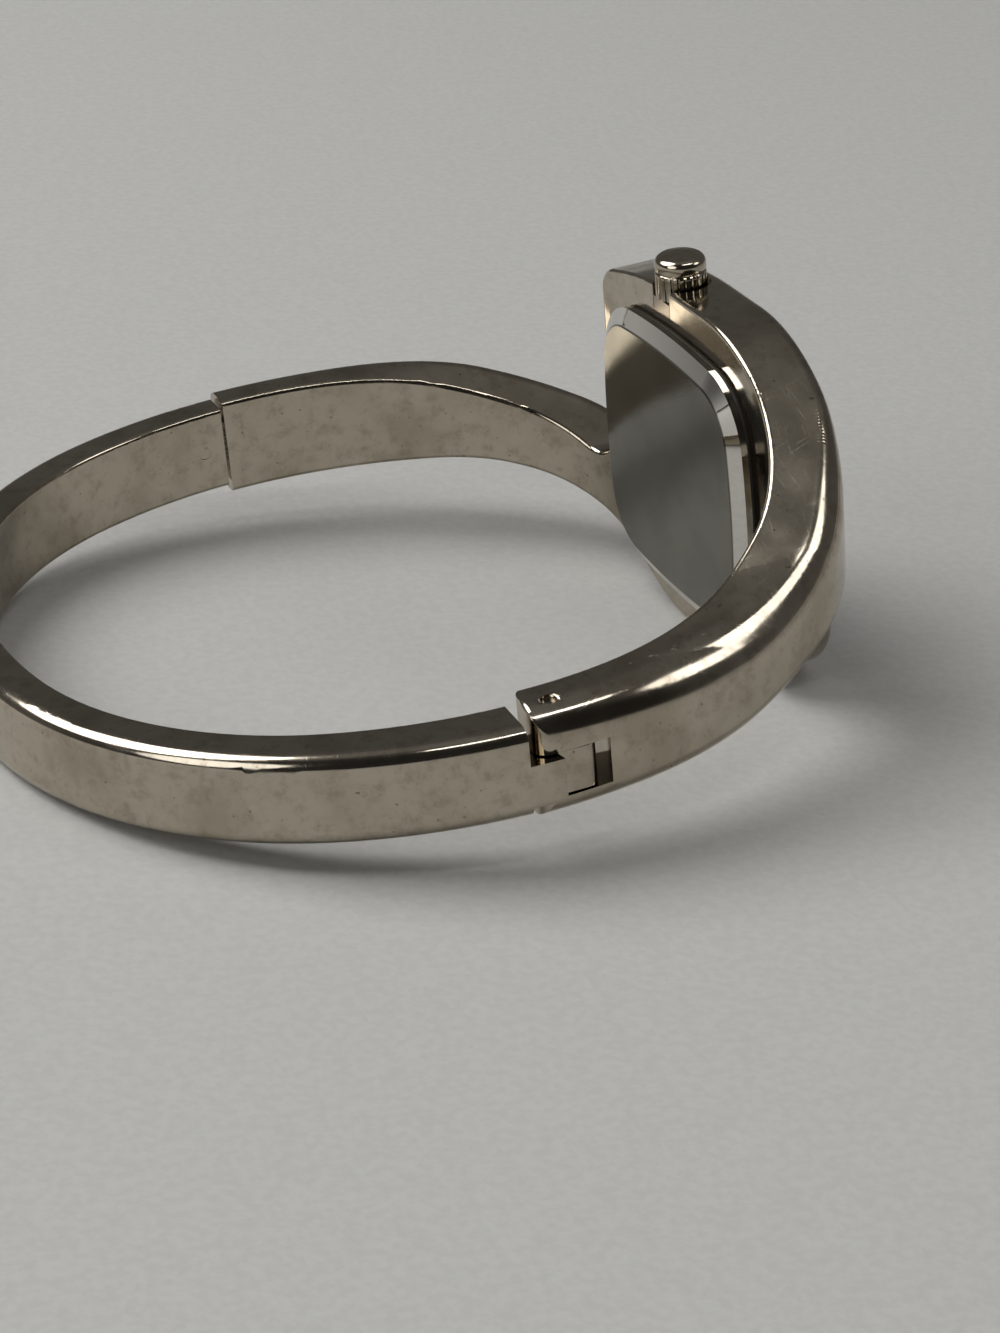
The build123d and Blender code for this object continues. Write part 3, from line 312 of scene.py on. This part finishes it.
def circuit():
    """Green board under lacquer, with copper tracks showing faintly."""
    board = middle("circuit_board")
    look = Look("circuit_lacquer", (0.07, 0.25, 0.13), roughness=0.3, origin=board, coat=0.5)
    tracks = look.math("PINGPONG", look.math("ADD", look.y, look.z), 0.25 * MM)
    track = look.span(tracks, 0.10 * MM, 0.14 * MM)
    color = look.mix(look.math("MULTIPLY", track, 0.6), (0.05, 0.20, 0.10), (0.16, 0.36, 0.16))
    look.bump(track, 0.01 * MM)
    return look.done(color, look.span(look.noise(0.4 * MM), 0.3, 0.7, 0.22, 0.36))


def winding():
    """Fine lacquered copper wire, wound side by side, with painted shade in the grooves between the wires."""
    coil = middle("coil")
    look = Look("coil_wire", (0.62, 0.28, 0.12), metallic=0.9, roughness=0.3, origin=coil, coat=0.4)
    wire = 0.06 * MM
    wave = look.math("SINE", look.math("MULTIPLY", look.y, 2 * math.pi / wire))
    height = look.span(wave, -1.0, 1.0)
    # painted shade: dark brown in the grooves between the wires, bright copper on their crests
    color = look.mix(height, (0.30, 0.11, 0.04), (0.68, 0.32, 0.14))
    look.bump(height, 0.02 * MM)
    return look.done(color, look.span(look.noise(0.5 * MM), 0.3, 0.7, 0.22, 0.38))


def area_lamp(name, place, size, power, depth=None):
    """A soft lamp that faces the watch: a disc, or a strip along X if it has a depth."""
    lamp = bpy.data.lights.new(name, "AREA")
    lamp.shape = "RECTANGLE" if depth else "DISK"
    lamp.size = size
    if depth:
        lamp.size_y = depth
    lamp.energy = power
    holder = bpy.data.objects.new(name, lamp)
    bpy.context.scene.collection.objects.link(holder)
    back = Vector(place).normalized()
    side = (Vector((1, 0, 0)) - back * back.x).normalized()
    turn = Matrix((side, back.cross(side), back)).transposed().to_4x4()
    holder.matrix_world = Matrix.Translation(place) @ turn


def make_camera():
    """The photograph's own view."""
    right = ring_point(0.91925, -0.38581, -0.07834)
    down = ring_point(-0.24594, -0.40740, -0.87951)
    ahead = ring_point(0.30741, 0.82776, -0.46938)
    place = HINGE + ring_point(-73.27, -188.65, 114.15) * MM
    focal_px = 3500
    data = bpy.data.cameras.new("camera")
    data.sensor_fit = "VERTICAL"
    data.sensor_height = 36.0
    data.lens = focal_px / IMAGE[1] * data.sensor_height
    data.clip_start = 0.01
    data.clip_end = 20.0
    camera = bpy.data.objects.new("camera", data)
    bpy.context.scene.collection.objects.link(camera)
    turn = Matrix((right, -down, -ahead)).transposed().to_4x4()
    camera.matrix_world = Matrix.Translation(place) @ turn
    bpy.context.scene.camera = camera


def make_floor():
    """A pale sheet of paper, larger than any view of it."""
    half = 3.0
    corners = [(-half, -half, 0), (half, -half, 0), (half, half, 0), (-half, half, 0)]
    mesh = bpy.data.meshes.new("floor")
    mesh.from_pydata(corners, [], [(0, 1, 2, 3)])
    floor = bpy.data.objects.new("floor", mesh)
    bpy.context.scene.collection.objects.link(floor)
    look = Look("paper", (0.51, 0.506, 0.487), roughness=0.8)
    fibres = look.noise(0.7 * MM, 4.0)
    look.bump(fibres, 0.02 * MM)
    color = look.mix(look.span(fibres, 0.3, 0.7), (0.53, 0.526, 0.507), (0.49, 0.486, 0.467))
    mesh.materials.append(look.done(color))


def make_light():
    """A dim room that is darkest behind the camera, a window beyond the watch and three weaker lamps."""
    world = bpy.data.worlds.new("room")
    bpy.context.scene.world = world
    world.use_nodes = True
    tree = world.node_tree
    shade = tree.nodes["Background"]
    way = tree.nodes.new("ShaderNodeTexCoord").outputs["Generated"]
    split = tree.nodes.new("ShaderNodeSeparateXYZ")
    ramp = tree.nodes.new("ShaderNodeValToRGB")
    side = tree.nodes.new("ShaderNodeVectorMath")
    side.operation = "DOT_PRODUCT"
    side.inputs[1].default_value = (-0.41, -0.91, 0)  # towards the camera
    dim = tree.nodes.new("ShaderNodeMapRange")
    for socket, value in zip(dim.inputs[1:5], (0.05, 0.35, 1.0, 0.25)):
        socket.default_value = value
    tree.links.new(way, split.inputs[0])
    tree.links.new(way, side.inputs[0])
    tree.links.new(split.outputs["Z"], ramp.inputs[0])
    tree.links.new(side.outputs["Value"], dim.inputs[0])
    tree.links.new(ramp.outputs[0], shade.inputs["Color"])
    tree.links.new(dim.outputs[0], shade.inputs["Strength"])
    # levels by height: at the horizon, then up to straight above
    stops = ((0.0, 0.40), (0.07, 0.11), (0.50, 0.09), (0.80, 0.11), (1.0, 0.18))
    for i, (at, level) in enumerate(stops):
        stop = ramp.color_ramp.elements[i] if i < 2 else ramp.color_ramp.elements.new(at)
        stop.position = at
        stop.color = (level, level * 0.985, level * 0.95, 1)
    area_lamp("window", (-0.54, 0.38, 0.78), 0.84, 8.2)
    area_lamp("ceiling_strip", (0.14, -0.36, 0.90), 0.56, 1.0, 0.07)
    area_lamp("side_lamp", (0.68, -0.37, 0.66), 0.34, 0.85)
    area_lamp("fill_left", (-1.00, -0.40, 0.55), 0.80, 3.2)


def dress(mesh, material):
    """Gives a mesh its one material, and smooth faces between the sharp edges."""
    mesh.materials.clear()
    mesh.materials.append(material)
    mesh.shade_smooth()
    mesh.set_sharp_from_angle(angle=SHARP)


def add_piece(name, body, verts, faces, material, replaces=()):
    """A mesh piece with outward faces, in the row frame, that rides on a body."""
    mesh = bpy.data.meshes.new(name)
    mesh.from_pydata([tuple(v) for v in verts], [], faces)
    shape = bmesh.new()
    shape.from_mesh(mesh)
    bmesh.ops.remove_doubles(shape, verts=shape.verts, dist=0.0005 * MM)
    bmesh.ops.recalc_face_normals(shape, faces=shape.faces)
    shape.to_mesh(mesh)
    shape.free()
    dress(mesh, material)
    piece = bpy.data.objects.new(name, mesh)
    bpy.context.scene.collection.objects.link(piece)
    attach(piece, body)
    if replaces:
        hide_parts(*replaces)


def turned(profile, count, origin, relief=None):
    """A closed (radius, height) profile in mm, turned about the ring's UP through origin.

    relief(i, angle) adds to the radius of the profile's point i.
    """
    verts = []
    for step in range(count):
        angle = 2 * math.pi * step / count
        for i, (radius, height) in enumerate(profile):
            far = (radius + (relief(i, angle) if relief else 0)) * MM
            verts.append(origin + ring_point(far * math.cos(angle), far * math.sin(angle), height * MM))
    n = len(profile)
    faces = []
    for step in range(count):
        a, b = step * n, (step + 1) % count * n
        faces += [(a + i, b + i, b + (i + 1) % n, a + (i + 1) % n) for i in range(n)]
    return verts, faces


def make_crown():
    """Fluted barrel under a smooth rounded cap. Heights are from the crown joint's own point."""
    origin = Vector(joints["crown_turn"]["pos_m"])
    radius, base, top, shoulder = 1.95, 1.02, 4.4, 3.15
    stem, stem_top, bore, bore_top = 0.37, 2.35, 1.27, 1.75
    cap_edge, cap_dome, cap_steps = 0.62, 0.16, 10
    flute_count, flute_depth = 24, 0.11
    profile = [(stem, stem_top), (stem, bore_top), (bore, bore_top), (bore, base), (radius - 0.16, base)]
    first = len(profile)
    profile += [(radius - 0.02, base + 0.12), (radius, base + 0.25), (radius, base + 0.9)]
    profile += [(radius, shoulder - 0.45), (radius, shoulder - 0.28)]
    fluted = range(first, len(profile))
    profile += [(radius - 0.05, shoulder - 0.16), (radius - 0.13, shoulder - 0.08)]
    profile += [(radius - 0.05, shoulder), (radius, shoulder + 0.12)]
    for i in range(1, cap_steps + 1):
        turn = math.pi / 2 * i / cap_steps
        inward = cap_edge * (1 - math.cos(turn))
        down = cap_edge * (1 - math.sin(turn))
        profile.append((radius - inward, top - cap_dome - down))
    profile += [(1.0, top - 0.05), (0.6, top - 0.015), (0.25, top), (0.0004, top), (0.0004, stem_top)]

    def flutes(i, angle):
        wave = math.cos(flute_count * angle)
        return -flute_depth * max(0.0, wave) ** 0.6 if i in fluted else 0.0

    verts, faces = turned(profile, 12 * flute_count, origin, flutes)
    look = plating("crown_plating", 0.5, 0.12)
    add_piece("crown_knob", "crown_group", verts, faces, look, ["crown"])


def make_recess_floor():
    """The floor of the crown's recess, flush with the case's rear face where the recess breaks it, with the
    recess's shade painted into its plating as a darker tone.
    """
    origin = Vector(joints["crown_turn"]["pos_m"])
    well, hole, low, high, rear = 2.248, 1.30, -0.098, 0.94, 1.69
    chamfer = 0.1
    ring = [(well, low), (well, high), (hole + chamfer, high), (hole, high - chamfer), (hole, low)]
    verts, faces = turned(ring, 144, origin)
    flush = []
    for point in verts:
        reach = (point - origin).dot(OUT)
        flush.append(point + OUT * (max(reach, -rear * MM) - reach))
    # painted shade: the recess plating gets a darker, browner tone and more tarnish than the case, standing in for
    # the shade in the recess
    look = plating("recess_painted_shade_plating", 0.7, 0.14, (0.30, 0.26, 0.21))
    add_piece("crown_recess_floor", "watch_case", flush, faces, look)


def make_minute_track():
    """Sixty printed ticks round the dial, outside the hour bars."""
    centre = Vector(joints["minute_turn"]["pos_m"])
    face = max(v.co.dot(OUT) for v in frame["nodes"]["dial"].data.vertices) - centre.dot(OUT)
    reach_across, reach_up = 9.5 * MM, 8.2 * MM
    low, high = face - 0.01 * MM, face + 0.012 * MM
    hour_tick, minute_tick = (0.50 * MM, 0.17 * MM), (0.36 * MM, 0.07 * MM)  # length and width
    box = [(0, 1, 3, 2), (4, 6, 7, 5), (0, 4, 5, 1), (2, 3, 7, 6), (0, 2, 6, 4), (1, 5, 7, 3)]
    verts, faces = [], []
    for minute in range(60):
        turn = 2 * math.pi * minute / 60
        length, width = minute_tick if minute % 5 else hour_tick
        faces += [tuple(len(verts) + i for i in side) for side in box]
        for level in (low, high):
            for far in (-length / 2, length / 2):
                for aside in (-width / 2, width / 2):
                    across = (reach_across + far) * math.sin(turn) + aside * math.cos(turn)
                    up = (reach_up + far) * math.cos(turn) - aside * math.sin(turn)
                    verts.append(centre + ring_point(level, across, up))
    ink = moulded("dial_ink", (0.04, 0.04, 0.045), 0.4)
    add_piece("minute_track", "watch_case", verts, faces, ink)


def near_arm_corner(point):
    """How deep a point lies under the near arm's outer wall and under its top face, with the faces' normals.

    The point is in the ring's frame, in mm, and the sizes are the solid's own.
    """
    outer_y, outer_radius, corner_radius = 31.8731, 41.0, 14.5
    side_x, front_x = -2.9, 27.5
    arm_top, rise_radius = 3.9, 9.0
    rise, crest = Vector((-25.5, arm_top)), Vector((-9.0, 16.3))

    # seen from above: a long arc, then the corner's arc
    long_centre = Vector((side_x, outer_radius - outer_y))
    reach = outer_radius - corner_radius
    across = front_x - corner_radius - long_centre.x
    corner_centre = long_centre + Vector((across, -math.sqrt(reach ** 2 - across ** 2)))
    plan = Vector((point.x, point.y))
    from_long = plan - long_centre
    if math.atan2(from_long.x, -from_long.y) < math.asin(across / reach):
        wall_depth, way = outer_radius - from_long.length, from_long.normalized()
    else:
        from_corner = plan - corner_centre
        wall_depth, way = corner_radius - from_corner.length, from_corner.normalized()

    # seen from the front: level, then the bend and the straight rise to the head
    slope = math.atan2(crest.y - rise.y, crest.x - rise.x)
    bend = Vector((rise.x - rise_radius * math.tan(slope / 2), arm_top + rise_radius))
    side = Vector((point.y, point.z))
    from_bend = side - bend
    turn = math.atan2(from_bend.x, -from_bend.y)
    if turn < 0:
        top_depth, up = arm_top - point.z, Vector((0, 1))
    elif turn < slope:
        top_depth, up = from_bend.length - rise_radius, -from_bend.normalized()
    else:
        up = Vector((-math.sin(slope), math.cos(slope)))
        top_depth = up.dot(rise - side)
    return wall_depth, Vector((way.x, way.y, 0)), top_depth, Vector((0, up.x, up.y))


# In mm: the near arm's range along Y, and the radius of its upper outer edge, the solid's own and the widest
ARM_END, ARM_START = -35.0, -10.0
OWN_RADIUS, WORN_RADIUS = 1.1, 3.2


def in_worn_zone(place):
    """True for a point near the edge, within the widest rounding and a little more."""
    margin, reach = 0.1, WORN_RADIUS + 0.5
    point = ring_place(place)
    if not ARM_END < point.y < ARM_START:
        return False
    wall_depth, _, top_depth, _ = near_arm_corner(point)
    return -margin < wall_depth < reach and -margin < top_depth < reach


def worn_radius(point):
    """The edge's radius at a point: the solid's own at the head, widest along the rise, less at the hinge."""
    fade_start, fade_length = -13.0, 8.0
    hinge_x, hinge_length, hinge_share = -5.0, 14.0, 0.45
    along = held((fade_start - point.y) / fade_length)
    along = along * along * (3 - 2 * along)
    share = hinge_share + (1 - hinge_share) * held((point.x - hinge_x) / hinge_length)
    return OWN_RADIUS + (WORN_RADIUS - OWN_RADIUS) * along * share


def worn_move(point):
    """The move, in mm, that takes a point outside the rounding onto it, or None."""
    radius = worn_radius(point)
    wall_depth, out, top_depth, up = near_arm_corner(point)
    if wall_depth > radius or top_depth > radius or radius < OWN_RADIUS + 0.01:
        return None
    u, v, lean = radius - wall_depth, radius - top_depth, out.dot(up)
    square = 1 - lean * lean
    a, b = (u - lean * v) / square, (v - lean * u) / square
    far = math.sqrt((u * u + v * v - 2 * lean * u * v) / square)
    if a > 0 and b > 0 and far > radius:
        return (out * a + up * b) * (radius / far - 1)
    return None


def divide_worn_zone(shape):
    """Divides the long edges near the worn edge, and leaves triangles without doubles or slivers."""
    longest, rounds, samples = 0.5 * MM, 9, 4
    same, sliver = 0.00001 * MM, 0.0001 * MM

    def to_divide(edge):
        a, b = (v.co for v in edge.verts)
        if (b - a).length <= longest:
            return False
        return any(in_worn_zone(a.lerp(b, i / samples)) for i in range(samples + 1))

    def triangles():
        bmesh.ops.triangulate(shape, faces=[face for face in shape.faces if len(face.verts) > 3])

    bmesh.ops.remove_doubles(shape, verts=shape.verts, dist=same)
    for _ in range(rounds):
        edges = [edge for edge in shape.edges if to_divide(edge)]
        if not edges:
            break
        bmesh.ops.subdivide_edges(shape, edges=edges, cuts=1)
        triangles()
    bmesh.ops.remove_doubles(shape, verts=shape.verts, dist=same)
    bmesh.ops.dissolve_degenerate(shape, dist=sliver, edges=shape.edges)
    triangles()
    shape.verts.index_update()


def keep_normals(mesh, source, moved):
    """Gives the faces without a moved vertex the corner normals that the source's triangles have there."""
    places = [v.co.copy() for v in source.vertices]
    corners = [tuple(p.vertices) for p in source.polygons]
    starts = [p.loop_start for p in source.polygons]
    shading = [c.vector.copy() for c in source.corner_normals]
    tree = BVHTree.FromPolygons(places, corners)
    normals = [c.vector.copy() for c in mesh.corner_normals]
    for face in mesh.polygons:
        if moved.intersection(face.vertices):
            continue
        _, _, parent, _ = tree.find_nearest(face.center)
        a, b, c = (places[i] for i in corners[parent])
        start = starts[parent]
        for loop in face.loop_indices:
            place = mesh.vertices[mesh.loops[loop].vertex_index].co
            way = barycentric_transform(place, a, b, c, *shading[start:start + 3])
            if way.length > 0.5:
                normals[loop] = way.normalized()
    mesh.normals_split_custom_set(normals)


def make_worn_case(material):
    """The front case with its near arm's upper outer edge rounder, as the photograph shows it."""
    source = frame["nodes"]["front_case"].data
    shape = bmesh.new()
    shape.from_mesh(source)
    divide_worn_zone(shape)
    moved = set()
    for vert in shape.verts:
        point = ring_place(vert.co)
        move = worn_move(point) if ARM_END < point.y < ARM_START else None
        if move is not None:
            vert.co += ring_point(*(n * MM for n in move))
            moved.add(vert.index)
    mesh = bpy.data.meshes.new("front_case_worn")
    shape.to_mesh(mesh)
    shape.free()
    dress(mesh, material)
    keep_normals(mesh, source, moved)
    piece = bpy.data.objects.new("front_case_worn", mesh)
    bpy.context.scene.collection.objects.link(piece)
    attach(piece, "watch_case")
    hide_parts("front_case")


def dress_nodes():
    """Gives each CAD node its material, and returns the plating of the case."""
    brass, steel, plate = (0.72, 0.56, 0.27), (0.58, 0.58, 0.57), (0.66, 0.64, 0.58)
    spring, hand, silver = (0.55, 0.54, 0.52), (0.35, 0.35, 0.36), (0.70, 0.70, 0.70)
    plated = plating("plating")
    looks = {
        "front_case": plated,
        "rear_band": plated,
        "hinge_pin": plating("pin_plating", rough=0.16),
        "clasp_rivet": plating("rivet_plating", rough=0.16),
        "crown": plating("crown_plating", 0.45, 0.11),
        "case_back": case_back_look(),
        "crystal": glass(),
        "dial": dial_paint(),
        "circuit_board": circuit(),
        "coil": winding(),
        "control_chip": moulded("chip_epoxy", (0.03, 0.03, 0.03)),
        "movement_ring": moulded("ring_moulding", (0.75, 0.74, 0.70)),
    }
    rubber = moulded("seal_rubber_black", (0.05, 0.05, 0.05), 0.7)
    for name in ("case_back_gasket", "crystal_gasket", "crown_gasket"):
        looks[name] = rubber
    wheels = ("centre_wheel", "third_wheel", "intermediate_wheel")
    wheels += ("cannon_pinion", "minute_wheel", "hour_wheel")
    for name in wheels:
        looks[name] = brushed_metal(name + "_brass", brass, name, 0.22, 0.03 * MM, "turned")
    steel_nodes = ("stator", "coil_core", "battery_clamp", "movement_screws")
    steel_nodes += ("winding_stem", "sliding_pinion", "setting_lever")
    for name in steel_nodes:
        looks[name] = brushed_metal(name + "_steel", steel, name)
    # node, material, colour, roughness, then the width and way of the marks
    ground = (
        ("crown_tube", "crown_tube_steel", steel, 0.3),
        ("clasp_tongue", "clasp_tongue_steel", spring, 0.22),
        ("clasp_spring", "clasp_spring_steel", spring, 0.25),
        ("hour_markers", "marker_polish", (0.60, 0.58, 0.55), 0.12),
        ("hour_hand", "hour_hand_polish", hand, 0.14),
        ("minute_hand", "minute_hand_polish", hand, 0.14),
        ("main_plate", "main_plate_nickel", plate, 0.3, 0.06 * MM, "turned"),
        ("train_bridge", "train_bridge_nickel", plate, 0.3, 0.06 * MM),
        ("rotor", "rotor_magnet", (0.35, 0.34, 0.33), 0.4, 0.04 * MM, "turned"),
        ("battery", "battery_nickel", silver, 0.25, 0.05 * MM, "turned"),
        ("quartz_can", "quartz_tin", silver, 0.3),
    )
    for name, material, color, *finish in ground:
        looks[name] = brushed_metal(material, color, name, *finish)
    for name, node in frame["nodes"].items():
        node.data.materials.clear()
        node.data.materials.append(looks[name])
    return plated


make_camera()
make_floor()
make_light()
make_worn_case(dress_nodes())
make_crown()
make_recess_floor()
make_minute_track()
bpy.context.scene.view_settings.view_transform = "Standard"
